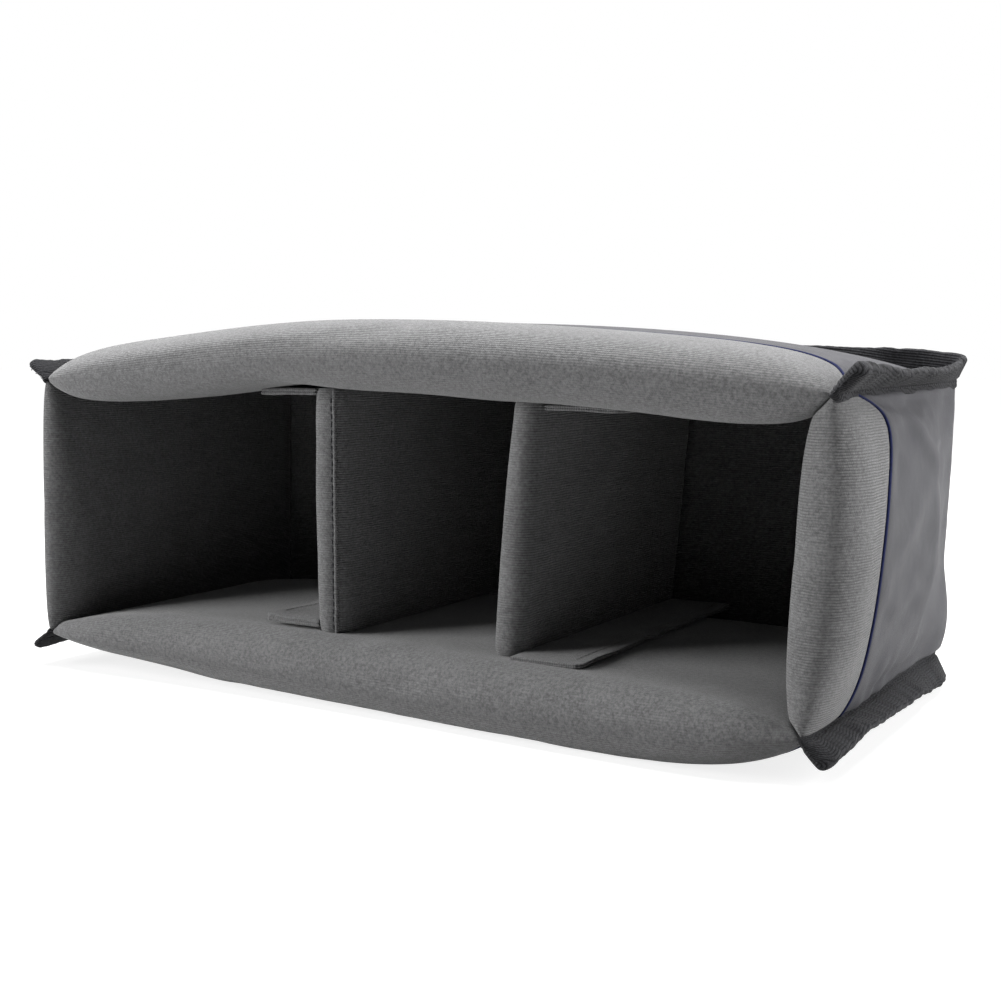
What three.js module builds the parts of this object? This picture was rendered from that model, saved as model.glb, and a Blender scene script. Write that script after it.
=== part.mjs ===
// Padded camera insert: a box of five soft panels, open on one side, with two removable dividers.
// It lies on one long wall, with its opening towards -Y and its base at +Y.
// Millimetres, +Z up. The origin is on the floor, under the middle of the box.

import * as THREE from 'three';

// The box, measured between the seam lines that join its panels
const LENGTH = 332;
const HEIGHT = 108;
const DEPTH = 162;
const SEAM_RISE = 15; // from the floor to the two lower seams
const LEAN_LEFT = 2; // how far the upper seam has slumped to +X at the left end
const LEAN_RIGHT = 7.2; // and at the right end

// Fabric and seams
const FABRIC = 1.2; // one layer of lining or shell
const GAP = 0.3; // left between pieces that touch
const SEAM_HALF = 1.6; // half of a panel's thickness where it enters a seam
const SEAM_ROOM = 1.4; // what the binding takes between a panel's end and the seam line
const PAD_END = SEAM_HALF + SEAM_ROOM;
const INSIDE = FABRIC + GAP; // depth of a foam's surface below the fabric's outside

// Binding tape folded over the three seams of each long wall
const BINDING_THICK = 3;
const BINDING_WIDTH = 13;
const BINDING_FRONT = 2.5; // how far a binding's ends pass the front seam
const BINDING_CREASE = 0.8; // height of the fold along the tape's outer edge
const BINDING_INNER_RADIUS = 0.5; // of its root at the base's corners
const TOP_BINDING_DEGREES = { left: 36, back: 76, right: 46 }; // how steeply it stands out, upwards
const BOTTOM_BINDING_DEGREES = { left: 34, back: 76, right: 52 }; // and downwards

// Top wall, pushed up by the dividers
const TOP_HALF_THICKNESS = 13.4;
const TOP_BOW = 10.3;
const TOP_BOW_PEAK_SHARE = -0.135;

// Bottom wall, flat where it rests on the floor, its front edge curled up towards the left
const BOTTOM_HALF_THICKNESS = 14.2;
const BOTTOM_BOW = 2.6;
const BOTTOM_BOW_PEAK_SHARE = 0.3;
const BOTTOM_ROLL = 15;
const BOTTOM_CURL = 18;
const BOTTOM_CURL_SHARE = 0.35;

// End walls
const RIGHT_HALF_THICKNESS = 11.2;
const RIGHT_BOW = 3.1;
const LEFT_HALF_THICKNESS = 10.3;
const LEFT_BOW = 1.5;

// The rolled front edges, where the lining wraps out over the foam
const LIP = 4; // how far an edge's middle stands forward of its ends
const ROLL = 20; // front-to-back size of the outer half of an edge
const EDGE_CORNER = 9; // from the front seam to the lining's outer edge, at the corners
const EDGE_MIDDLE = 31; // and in the middle of a wall
const TRIM_WIDTH = 1.8;
const TRIM_PROUD = 0.4;

// Where the walls get thinner towards the base
const TAPER_START = 108;
const TAPER_POWER = 0.75;

// Base panel
const BASE_SWELL = 7; // of its inner face
const BASE_STAND = 3; // of its flat outer face beyond the seam
const BASE_FLAT_SHARE = 0.72;

// Dividers, held between the top and bottom walls
const DIVIDER_SETBACK = 12; // from the front seam to a divider's front edge
const DIVIDER_BACK_ROOM = 2;
const DIVIDER_SWELL = 0.8; // of its faces at mid height
const LEFT_DIVIDER_THICK = 12.8;
const LEFT_DIVIDER_FOOT = -26.7; // middle of its lower end along X
const LEFT_DIVIDER_HEAD = -28;
const RIGHT_DIVIDER_THICK = 11.6;
const RIGHT_DIVIDER_FOOT = 50.6;
const RIGHT_DIVIDER_HEAD = 59.9;
const SLIT_HALF = 0.9; // half of the slot in a cover's back edge, where its foam goes in

// Tabs that hold the dividers: a fabric flap with hook tape on the side that faces the wall
const TAB_REACH = 29;
const TAB_MARGIN = 3; // from the divider's front and back edges
const HOOK_THICK = 1.5;
const HOOK_MARGIN = 2.5;

// How finely the surfaces are divided
const LONG_COLUMNS = 12;
const END_COLUMNS = 8;
const BASE_ROWS = 6;
const NOSE_STEPS = 3;
const FLAT_STEPS = 2;
const TAPER_STEPS = 3;
const WRAP_STEPS = 4;
const DIVIDER_ROWS = 3;
const BINDING_ROWS = 3;
const CORNER_STEPS = 4;

// Materials
function fabric(color, roughness) {
  return new THREE.MeshStandardMaterial({ color, roughness, metalness: 0 });
}
const liningFabric = () => fabric(0x6a6a6b, 0.95);
const shellFabric = () => fabric(0x4b4a50, 0.55);
const bindingTape = () => fabric(0x333237, 0.8);
const navyTrim = () => fabric(0x141c3a, 0.7);
const foam = () => fabric(0xb9bbb8, 0.9);
const hookTape = () => fabric(0x1b1b1e, 0.85);

const group = new THREE.Group();

// The slump of the whole box: points move to +X with their height, more at the right end.
function leanShift(height) {
  const share = (height - SEAM_RISE) / HEIGHT;
  const growth = share * (LEAN_RIGHT - LEAN_LEFT) / LENGTH;
  const middle = share * (LEAN_LEFT + LEAN_RIGHT) / 2;
  return { growth, middle };
}

function lean(x, y, z) {
  const { growth, middle } = leanShift(z);
  return [x * (1 + growth) + middle, y, z];
}

function unlean(x, z) {
  const { growth, middle } = leanShift(z);
  return (x - middle) / (1 + growth);
}

// A closed mesh from points and triangles, turned so that its faces point out
function addSolid(name, points, triangles, material) {
  let volume = 0;
  for (const [a, b, c] of triangles) {
    const [p, q, r] = [points[a], points[b], points[c]].map((point) => new THREE.Vector3(...point));
    volume += p.dot(q.cross(r));
  }
  const faces = volume < 0 ? triangles.map(([a, b, c]) => [a, c, b]) : triangles;
  const geometry = new THREE.BufferGeometry();
  geometry.setAttribute('position', new THREE.Float32BufferAttribute(points.flat(), 3));
  geometry.setIndex(faces.flat());
  geometry.computeVertexNormals();
  const mesh = new THREE.Mesh(geometry, material);
  mesh.name = name;
  group.add(mesh);
}

// The solid between two grids of points that have the same rows and columns
function addSheet(name, outerGrid, innerGrid, material) {
  const rows = outerGrid.length;
  const columns = outerGrid[0].length;
  const lastRow = rows - 1;
  const lastColumn = columns - 1;
  const at = (layer, row, column) => (layer * rows + row) * columns + column;
  const triangles = [];
  const quad = (a, b, c, d) => triangles.push([a, b, c], [a, c, d]);
  for (let r = 0; r < lastRow; r += 1) {
    for (let c = 0; c < lastColumn; c += 1) {
      quad(at(0, r, c), at(0, r + 1, c), at(0, r + 1, c + 1), at(0, r, c + 1));
      quad(at(1, r, c), at(1, r, c + 1), at(1, r + 1, c + 1), at(1, r + 1, c));
    }
    quad(at(0, r, 0), at(1, r, 0), at(1, r + 1, 0), at(0, r + 1, 0));
    quad(at(0, r, lastColumn), at(0, r + 1, lastColumn), at(1, r + 1, lastColumn), at(1, r, lastColumn));
  }
  for (let c = 0; c < lastColumn; c += 1) {
    quad(at(0, 0, c), at(0, 0, c + 1), at(1, 0, c + 1), at(1, 0, c));
    quad(at(0, lastRow, c), at(1, lastRow, c), at(1, lastRow, c + 1), at(0, lastRow, c + 1));
  }
  addSolid(name, [...outerGrid.flat(), ...innerGrid.flat()], triangles, material);
}

// The solid through a row of loops. Each cap is a ladder across its loop, from the loop's first point.
function addLoft(name, loops, material) {
  const count = loops[0].length;
  const last = loops.length - 1;
  const triangles = [];
  for (let r = 0; r < last; r += 1) {
    const here = r * count;
    const next = here + count;
    for (let k = 0; k < count; k += 1) {
      const k1 = (k + 1) % count;
      triangles.push([here + k, here + k1, next + k1], [here + k, next + k1, next + k]);
    }
  }
  const rungs = Math.floor(count / 2);
  for (let k = 0; k < rungs; k += 1) {
    const across = count - 1 - k;
    if (k > 0) {
      triangles.push([k, across + 1, across], [last * count + k, last * count + across, last * count + across + 1]);
    }
    if (k + 1 < across) {
      triangles.push([k, across, k + 1], [last * count + k, last * count + k + 1, last * count + across]);
    }
  }
  addSolid(name, loops.flat(), triangles, material);
}

// Evenly stepped shares from 0 to 1
function steps(count) {
  return Array.from({ length: count + 1 }, (_, k) => k / count);
}

// Places across a panel from -1 to 1, closer together at its ends
function placesAcross(columns) {
  return steps(columns).map((share) => -Math.cos(share * Math.PI));
}

// The four walls. On each, u runs along the wall, v back from the front seam and w outwards.
const middleHeight = SEAM_RISE + HEIGHT / 2;
const topSeam = SEAM_RISE + HEIGHT;
const boundEnd = DEPTH - PAD_END; // back end of a wall that is sewn to the base under a binding
const plainEnd = DEPTH - SEAM_HALF - GAP; // and of one with a plain seam there

const topWall = {
  halfSpan: LENGTH / 2,
  end: boundEnd,
  columns: LONG_COLUMNS,
  lensPower: 4,
  halfThickness: TOP_HALF_THICKNESS,
  bow: TOP_BOW,
  peakShare: TOP_BOW_PEAK_SHARE,
  bowPowers: [1.7, 1.1],
  roll: () => ROLL,
  place: (u, v, w) => lean(u, v - DEPTH / 2, topSeam + w),
};

const bottomWall = {
  halfSpan: LENGTH / 2,
  end: boundEnd,
  columns: LONG_COLUMNS,
  lensPower: 4,
  halfThickness: BOTTOM_HALF_THICKNESS,
  bow: BOTTOM_BOW,
  peakShare: BOTTOM_BOW_PEAK_SHARE,
  bowPowers: [0.6, 0.6],
  roll: (t) => BOTTOM_ROLL + BOTTOM_CURL * (t - BOTTOM_CURL_SHARE) ** 2,
  floor: SEAM_RISE,
  place: (u, v, w) => lean(u, v - DEPTH / 2, SEAM_RISE - w),
};

const leftWall = {
  halfSpan: HEIGHT / 2,
  end: plainEnd,
  columns: END_COLUMNS,
  lensPower: 2,
  halfThickness: LEFT_HALF_THICKNESS,
  bow: LEFT_BOW,
  peakShare: 0,
  bowPowers: [1, 1],
  roll: () => ROLL,
  place: (u, v, w) => lean(-LENGTH / 2 - w, v - DEPTH / 2, middleHeight + u),
};

const rightWall = {
  ...leftWall,
  halfThickness: RIGHT_HALF_THICKNESS,
  bow: RIGHT_BOW,
  place: (u, v, w) => lean(LENGTH / 2 + w, v - DEPTH / 2, middleHeight + u),
};

function lensShare(wall, t) {
  return Math.sqrt(Math.max(0, 1 - Math.abs(t) ** wall.lensPower));
}

function bowShare(wall, t) {
  const side = t < wall.peakShare ? 0 : 1;
  const fullReach = side ? 1 - wall.peakShare : 1 + wall.peakShare;
  const reachShare = Math.abs(t - wall.peakShare) / fullReach;
  return Math.max(0, Math.cos(reachShare * Math.PI / 2)) ** wall.bowPowers[side];
}

// The sizes of a wall's cross-section at place t
function section(wall, t) {
  const lens = lensShare(wall, t);
  const u = t * (wall.halfSpan - PAD_END);
  return {
    u,
    half: SEAM_HALF + (wall.halfThickness - SEAM_HALF) * lens,
    bow: wall.bow * bowShare(wall, t),
    lip: LIP * lens,
    roll: wall.roll(t),
    edge: EDGE_CORNER + (EDGE_MIDDLE - EDGE_CORNER) * lens,
    mitre: wall.halfSpan - Math.abs(u) - GAP,
  };
}

function taperShare(wall, v) {
  if (v <= TAPER_START) {
    return 1;
  }
  const share = (v - TAPER_START) / (wall.end - TAPER_START);
  return Math.max(0, 1 - share ** 2) ** TAPER_POWER;
}

// A point of a wall's surface, or of a layer under it. side is 1 outside and -1 inside.
function wallPoint(wall, t, side, v, inset) {
  const { u, half, bow, lip, roll, mitre } = section(wall, t);
  const axis = side > 0 ? roll : half;
  const centre = axis - lip;
  let depth = v;
  let offset;
  if (v < centre) {
    const forwardShare = (centre - v) / axis;
    depth = centre - (axis - inset) * forwardShare;
    offset = bow + side * (half - inset) * Math.sqrt(Math.max(0, 1 - forwardShare ** 2));
  } else {
    const swell = (half + side * bow - SEAM_HALF) * taperShare(wall, v);
    offset = side * (SEAM_HALF + swell - inset);
  }
  if (side < 0) {
    const room = Math.min(mitre, DEPTH - depth - GAP);
    offset = Math.max(offset, inset - room);
  } else if (wall.floor) {
    offset = Math.min(offset, wall.floor - Math.max(inset, 0));
  }
  return wall.place(u, depth, offset);
}

// Depths from v to the wall's back end, closer together where it gets thin. The foam stops one short.
function backRun(wall, v) {
  const flat = steps(FLAT_STEPS).map((share) => v + (TAPER_START - v) * share);
  const thin = steps(TAPER_STEPS).slice(1).map((share) => Math.sin(share * Math.PI / 2));
  const foamEnd = wall.end - INSIDE;
  return [...flat, ...thin.map((share) => TAPER_START + (foamEnd - TAPER_START) * share), wall.end];
}

// The wall's cross-section as three runs of places: along the inside, over the edge, and the shell's
function insideRun(wall, t) {
  const { half, lip } = section(wall, t);
  const centre = half - lip;
  const nose = steps(NOSE_STEPS).slice(0, -1);
  const noseRun = nose.map((share) => centre - half * Math.cos(share * Math.PI / 2));
  return [...noseRun, ...backRun(wall, centre)].map((v) => [-1, v]);
}

function wrapRun(wall, t) {
  const { lip, edge } = section(wall, t);
  return steps(WRAP_STEPS).slice(1).map((share) => [1, (edge + lip) * share ** 2 - lip]);
}

function trimRun(wall, t) {
  const start = section(wall, t).edge + GAP;
  return [[1, start], [1, start + TRIM_WIDTH]];
}

function shellRun(wall, t) {
  const start = section(wall, t).edge + TRIM_WIDTH + 2 * GAP;
  return backRun(wall, start).map((v) => [1, v]);
}

function layer(wall, places, run, inset) {
  return places.map((t) => run(wall, t).map(([side, v]) => wallPoint(wall, t, side, v, inset)));
}

function addWall(name, wall) {
  const places = placesAcross(wall.columns);
  const liningRun = (w, t) => [...insideRun(w, t).reverse(), ...wrapRun(w, t)];
  const lining = (inset) => layer(wall, places, liningRun, inset);
  const trim = (inset) => layer(wall, places, trimRun, inset);
  const shell = (inset) => layer(wall, places, shellRun, inset);
  addSheet(`lining_${name}`, lining(0), lining(FABRIC), liningFabric());
  addSheet(`edge_trim_${name}`, trim(-TRIM_PROUD), trim(FABRIC), navyTrim());
  addSheet(`shell_${name}`, shell(0), shell(FABRIC), shellFabric());

  const foamRun = (w, t) => {
    const [nose, ...inside] = insideRun(w, t).slice(0, -1);
    return [nose, ...wrapRun(w, t), ...shellRun(w, t).slice(0, -1), ...inside.reverse()];
  };
  addLoft(`foam_${name}`, layer(wall, places.slice(1, -1), foamRun, INSIDE), foam());
}

addWall('top', topWall);
addWall('bottom', bottomWall);
addWall('left', leftWall);
addWall('right', rightWall);

// The base panel, swollen inside and flat outside. Its thin ends pass behind the end walls.
function basePoint(u, w, side, inset) {
  const across = Math.min(1, Math.abs(u) / (LENGTH / 2 - PAD_END));
  const up = Math.abs(w) / (HEIGHT / 2 - PAD_END);
  const plateau = (t) => {
    const share = Math.max(0, (t - BASE_FLAT_SHARE) / (1 - BASE_FLAT_SHARE));
    return 1 - share ** 2;
  };
  const lens = Math.sqrt(Math.max(0, (1 - across ** 2) * (1 - up ** 2)));
  const swell = side > 0 ? BASE_STAND * plateau(across) * plateau(up) : BASE_SWELL * lens;
  const seamRoom = Math.min(LENGTH / 2 - Math.abs(u), HEIGHT / 2 - Math.abs(w)) - GAP;
  const room = side > 0 ? Infinity : Math.max(seamRoom, SEAM_HALF);
  return lean(u, DEPTH / 2 + side * (Math.min(SEAM_HALF + swell, room) - inset), middleHeight + w);
}

function addBase() {
  const padReach = LENGTH / 2 - PAD_END;
  const endReach = LENGTH / 2 + SEAM_HALF;
  const bulge = placesAcross(LONG_COLUMNS).map((t) => padReach * Math.sign(t) * Math.abs(t) ** 0.5);
  const across = [-endReach, ...bulge, endReach];
  const up = placesAcross(BASE_ROWS).map((t) => t * (HEIGHT / 2 - PAD_END));
  const layerOf = (us, ws, side, inset) => us.map((u) => ws.map((w) => basePoint(u, w, side, inset)));
  const whole = (side, inset) => layerOf(across, up, side, inset);
  const middle = (side, inset) => layerOf(bulge.slice(1, -1), up.slice(1, -1), side, inset);
  addSheet('lining_base', whole(-1, 0), whole(-1, FABRIC), liningFabric());
  addSheet('shell_base', whole(1, 0), whole(1, FABRIC), shellFabric());
  addSheet('foam_base', middle(-1, INSIDE), middle(1, INSIDE), foam());
}

addBase();

// Binding of a long wall, in one piece: back along one corner seam, across the base and forward along
// the other corner seam. It is a folded tape that stands out from the seam, at an angle of its own on
// each stretch. side is 1 for the top wall and -1 for the bottom one.
function addBinding(name, side, angles) {
  const halfThick = BINDING_THICK / 2;
  const rootIn = Math.SQRT2 * (PAD_END - GAP) - halfThick;
  const seamRadius = PAD_END - GAP + BINDING_INNER_RADIUS;
  const cornerX = LENGTH / 2 - seamRadius;
  const cornerY = DEPTH / 2 - seamRadius;
  const front = -DEPTH / 2 - BINDING_FRONT;

  // One cross-section. heading is the direction that the tape stands out to, seen from above.
  const loopAt = (x, y, heading, angle) => {
    const toPoint = (distance, across, bend) => {
      const level = distance * Math.cos(bend) - across * Math.sin(bend);
      const rise = distance * Math.sin(bend) + across * Math.cos(bend);
      const px = x + (seamRadius + level) * Math.cos(heading);
      const py = y + (seamRadius + level) * Math.sin(heading);
      return lean(px, py, middleHeight + side * (HEIGHT / 2 + rise));
    };
    return [
      toPoint(BINDING_WIDTH, 0, angle),
      toPoint(BINDING_WIDTH - BINDING_CREASE, halfThick, angle),
      toPoint(halfThick, halfThick, angle),
      toPoint(-rootIn, halfThick, Math.PI / 4),
      toPoint(-rootIn, -halfThick, Math.PI / 4),
      toPoint(halfThick, -halfThick, angle),
      toPoint(BINDING_WIDTH - BINDING_CREASE, -halfThick, angle),
    ];
  };
  const leg = (sideX, heading, angle) => steps(BINDING_ROWS)
    .map((share) => loopAt(sideX * cornerX, front + (cornerY - front) * share, heading, angle));
  const corner = (sideX, from, to, fromAngle, toAngle) => steps(CORNER_STEPS).map((share) => {
    const heading = from + (to - from) * share;
    return loopAt(sideX * cornerX, cornerY, heading, fromAngle + (toAngle - fromAngle) * share);
  });
  const [left, back, right] = [angles.left, angles.back, angles.right].map(THREE.MathUtils.degToRad);
  const loops = [
    ...leg(-1, Math.PI, left).slice(0, -1),
    ...corner(-1, Math.PI, Math.PI / 2, left, back),
    ...corner(1, Math.PI / 2, 0, back, right),
    ...leg(1, 0, right).reverse().slice(1),
  ];
  addLoft(name, loops, bindingTape());
}

addBinding('binding_top', 1, TOP_BINDING_DEGREES);
addBinding('binding_bottom', -1, BOTTOM_BINDING_DEGREES);

// How far a wall's inner face stands in from its seam line, at its most between two places along X
function faceBetween(wall, height, from, to) {
  const places = placesAcross(wall.columns);
  const us = places.map((t) => section(wall, t).u);
  const faces = places.map((t) => section(wall, t).half - section(wall, t).bow);
  const faceAt = (u) => {
    const k = Math.min(Math.max(us.findIndex((value) => value > u), 1), us.length - 1);
    const share = (u - us[k - 1]) / (us[k] - us[k - 1]);
    return faces[k - 1] + (faces[k] - faces[k - 1]) * share;
  };
  const [start, end] = [from, to].map((x) => unlean(x, height)).sort((a, b) => a - b);
  const between = us.filter((u) => u > start && u < end);
  return Math.max(...[start, ...between, end].map(faceAt));
}

function floorUnder(from, to) {
  return SEAM_RISE + faceBetween(bottomWall, middleHeight, from, to) + GAP;
}

function ceilingOver(from, to) {
  return topSeam - faceBetween(topWall, topSeam, from, to) - GAP;
}

// A divider: a foam board in a wrapped cover, a sewn strip on each end, and a tab at each strip.
// side is the side of the divider that its tabs point to, -1 for -X and 1 for +X.
function addDivider(name, { thick, foot, head, side }) {
  const front = -DEPTH / 2 + DIVIDER_SETBACK;
  const back = DEPTH / 2 - SEAM_HALF - BASE_SWELL - DIVIDER_BACK_ROOM;
  const halfThick = thick / 2;
  const bottom = floorUnder(foot - halfThick, foot + halfThick);
  const top = ceilingOver(head - halfThick, head + halfThick);
  const middleAt = (z) => foot + (head - foot) * (z - bottom) / (top - bottom);
  const halfAt = (z) => {
    const share = 2 * (z - bottom) / (top - bottom) - 1;
    return halfThick + DIVIDER_SWELL * (1 - share ** 2);
  };

  // Half of the outline seen from above, from the back edge's middle to the front edge's
  const halfOutline = (z, inset, startAngle) => {
    const half = halfAt(z) - inset;
    const round = steps(NOSE_STEPS).map((share) => startAngle + (Math.PI / 2 - startAngle) * share);
    const backPoints = round.map((angle) => [half * Math.sin(angle), back - halfThick + half * Math.cos(angle)]);
    const whole = steps(NOSE_STEPS).map((share) => share * Math.PI / 2);
    const frontPoints = whole.map((angle) => [half * Math.cos(angle), front + halfThick - half * Math.sin(angle)]);
    return [...backPoints, ...frontPoints];
  };
  const outlineAt = (z, inset, startAngle) => {
    const right = halfOutline(z, inset, startAngle);
    const left = right.slice(0, -1).reverse().map(([x, y]) => [-x, y]);
    return [...right, ...left].map(([x, y]) => [middleAt(z) + x, y, z]);
  };
  const loopAt = (z, inset) => outlineAt(z, inset, 0).slice(0, -1);

  const coverBottom = bottom + FABRIC + GAP;
  const coverTop = top - FABRIC - GAP;
  const levels = (from, to) => steps(DIVIDER_ROWS).map((share) => from + (to - from) * share);
  const slitAngle = Math.asin(SLIT_HALF / halfThick);
  const coverLayer = (inset) => levels(coverBottom, coverTop).map((z) => outlineAt(z, inset, slitAngle));
  addSheet(`${name}_cover`, coverLayer(0), coverLayer(FABRIC), liningFabric());
  const foamLoops = levels(coverBottom + GAP, coverTop - GAP).map((z) => loopAt(z, INSIDE));
  addLoft(`${name}_foam`, foamLoops, foam());
  addLoft(`${name}_bottom_strip`, [bottom, bottom + FABRIC].map((z) => loopAt(z, 0)), bindingTape());
  addLoft(`${name}_top_strip`, [top - FABRIC, top].map((z) => loopAt(z, 0)), bindingTape());

  const tabFront = front + TAB_MARGIN;
  const tabBack = back - TAB_MARGIN;
  const plate = (node, xs, ys, zs, material) => {
    const size = [xs, ys, zs].map(([low, high]) => Math.abs(high - low));
    const mesh = new THREE.Mesh(new THREE.BoxGeometry(...size), material);
    mesh.position.set(...[xs, ys, zs].map(([low, high]) => (low + high) / 2));
    mesh.name = node;
    group.add(mesh);
  };
  const addTab = (end, seat, up) => {
    const wallSide = up > 0 ? bottom : top;
    const faceX = middleAt(wallSide) + side * (halfAt(seat) + GAP);
    const innerLevel = seat + up * (HOOK_THICK + GAP + FABRIC);
    const root = side > 0
      ? Math.max(faceX, middleAt(innerLevel) + halfAt(innerLevel) + GAP)
      : Math.min(faceX, middleAt(innerLevel) - halfAt(innerLevel) - GAP);
    const tip = root + side * TAB_REACH;
    const flap = [innerLevel - up * FABRIC, innerLevel];
    const hook = [seat, seat + up * HOOK_THICK];
    plate(`${name}_${end}_tab`, [root, tip], [tabFront, tabBack], flap, bindingTape());
    const hookEnds = [root + side * HOOK_MARGIN, tip - side * HOOK_MARGIN];
    plate(`${name}_${end}_hook`, hookEnds, [tabFront + HOOK_MARGIN, tabBack - HOOK_MARGIN], hook, hookTape());
  };
  const tabSpan = (middle) => [middle + side * halfThick, middle + side * (halfThick + TAB_REACH + FABRIC)];
  addTab('bottom', floorUnder(...tabSpan(foot)), 1);
  addTab('top', ceilingOver(...tabSpan(head)), -1);
}

addDivider('left_divider', {
  thick: LEFT_DIVIDER_THICK,
  foot: LEFT_DIVIDER_FOOT,
  head: LEFT_DIVIDER_HEAD,
  side: -1,
});
addDivider('right_divider', {
  thick: RIGHT_DIVIDER_THICK,
  foot: RIGHT_DIVIDER_FOOT,
  head: RIGHT_DIVIDER_HEAD,
  side: 1,
});

export default group;
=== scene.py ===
import math
from dataclasses import dataclass

import bmesh
import bpy
import numpy as np
from mathutils import Matrix, Vector


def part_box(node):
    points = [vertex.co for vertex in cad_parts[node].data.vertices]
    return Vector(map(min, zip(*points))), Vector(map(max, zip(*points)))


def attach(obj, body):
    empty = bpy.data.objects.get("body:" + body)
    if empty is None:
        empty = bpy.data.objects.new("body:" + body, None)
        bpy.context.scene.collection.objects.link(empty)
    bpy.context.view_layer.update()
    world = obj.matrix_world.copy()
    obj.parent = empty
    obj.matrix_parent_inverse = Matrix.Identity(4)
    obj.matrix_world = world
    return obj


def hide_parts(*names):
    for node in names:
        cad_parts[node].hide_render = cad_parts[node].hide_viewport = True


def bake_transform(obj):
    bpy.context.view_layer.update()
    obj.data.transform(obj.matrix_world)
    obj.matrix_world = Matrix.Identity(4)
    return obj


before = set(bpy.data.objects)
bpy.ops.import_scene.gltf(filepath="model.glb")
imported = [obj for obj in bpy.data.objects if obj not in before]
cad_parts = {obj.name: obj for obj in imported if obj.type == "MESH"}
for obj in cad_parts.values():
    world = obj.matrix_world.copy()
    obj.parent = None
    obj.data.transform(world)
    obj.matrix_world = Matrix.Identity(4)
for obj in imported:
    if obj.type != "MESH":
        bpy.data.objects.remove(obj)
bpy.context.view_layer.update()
MM = 0.001

# The box between its seam lines
LENGTH = 332
HEIGHT = 108
DEPTH = 162
SEAM_RISE = 15
LEAN_LEFT = 2
LEAN_RIGHT = 7.2
BACK_LEAN = 2.7

# Fabric and seams. Here the walls run on into their seams, which the row's solids keep clear of.
FABRIC = 1.2
GAP = 0.3
SEAM_HALF = 1.6
SEAM_THIN = 0.7
SEAM_CLEAR = 0.3
PAD_END = 3.0
INSIDE = FABRIC + GAP
BACK_END = DEPTH - SEAM_CLEAR
MIDDLE_HEIGHT = SEAM_RISE + HEIGHT / 2
TOP_SEAM = SEAM_RISE + HEIGHT

# Rolled front edges and the taper towards the base
LIP = 4
ROLL = 20
TRIM_WIDTH = 1.8
TAPER_START = 108
TAPER_POWER = 0.75
SHELL_TAPER_START = 95
SHELL_TAPER_POWER = 1.4

# Depths over which a hollow wall's inside sinks in, and its outside's ends go from the front form to the back
HOLLOW_SPAN = 12, 45
FORM_SPAN = 30, 85

# How far the cloth may lift off: the shell, the lining round the front, and the lining inside the box
SHELL_LIFT = 2.0
ROLL_LIFT = 0.6
INSIDE_LIFT = 0.15
LINING_SLACK = 0.15
AIR_PRESSURE = 2.0

# Base panel
BASE_SWELL = 7
BASE_STAND = 3
BASE_FLAT_SHARE = 0.72
BASE_OVERLAP = 0.45

# Binding tape
BINDING_WIDTH = 13
BINDING_FRONT = 2.5
BINDING_CORNER = PAD_END - GAP + 0.5
TAPE_RIB = 1.1
TAPE_SLANT = 0.12
TAPE_PUCKER = 3.7
STITCH_REACH = 2.4
TAPE_SPACING = 0.9
YARNS = 14

# Dividers
DIVIDER_FRONT = -DEPTH / 2 + 12
DIVIDER_BACK = DEPTH / 2 - SEAM_HALF - BASE_SWELL - 2
DIVIDER_SWELL = 0.8
SLIT_HALF = 0.9
COVER_RISE = 1.8
COVER_DROP = 0.9

# Tabs
TAB_CORNER = 3.0
TAB_EDGE = 0.8

# Hook tape: its points each way, its margins on the solid, and its sheet's and its hooks' thickness
HOOK_ROWS = 151
HOOK_COLUMNS = 33
HOOK_MARGIN = 2
HOOK_END_MARGIN = 3
HOOK_SHEET = 0.35
HOOK_RISE = 0.5

KNIT_RIB = 0.92
LIGHT_AIM = 0, 0, 0.07

# How the walls' cloth is let go
CLOTH = {
    "quality": 6, "mass": 0.2, "tension_stiffness": 20, "compression_stiffness": 20, "shear_stiffness": 8,
    "bending_stiffness": 0.15, "vertex_group_mass": "held", "vertex_group_shrink": "loose",
    "shrink_min": 0.0, "shrink_max": -0.035, "use_pressure": True, "uniform_pressure_force": AIR_PRESSURE,
}

BOX = "box"


# Shape helpers

def lean(points):
    """The slump of the box: points move to +X with their height, more at the right end but less behind."""
    x, y, z = points[..., 0], points[..., 1], points[..., 2]
    share = (z - SEAM_RISE) / HEIGHT
    growth = share * (LEAN_RIGHT - LEAN_LEFT) / LENGTH
    behind = ease(y, -DEPTH / 2, DEPTH / 2) * ease(x, 0, LENGTH / 2) * np.maximum(share, 0) ** 3
    return np.stack([x * (1 + growth) + share * (LEAN_LEFT + LEAN_RIGHT) / 2 - BACK_LEAN * behind, y, z], -1)


def steps(count):
    return np.linspace(0, 1, count + 1)


def around(count):
    return np.arange(count) / count * 2 * math.pi


def closer(even):
    """Places from -1 to 1, moved closer together towards both ends."""
    return 0.5 * even + 0.5 * np.sin(even * math.pi / 2)


def running(parts, axis=0):
    """The running sum from 0."""
    total = np.cumsum(parts, axis)
    return np.concatenate([np.zeros_like(total.take([0], axis)), total], axis)


def unit(vectors):
    return vectors / np.maximum(np.linalg.norm(vectors, axis=-1, keepdims=True), 1e-9)


def corners(node):
    """The low and high corner of a solid's box in mm."""
    return (np.array(corner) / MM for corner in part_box(node))


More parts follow.
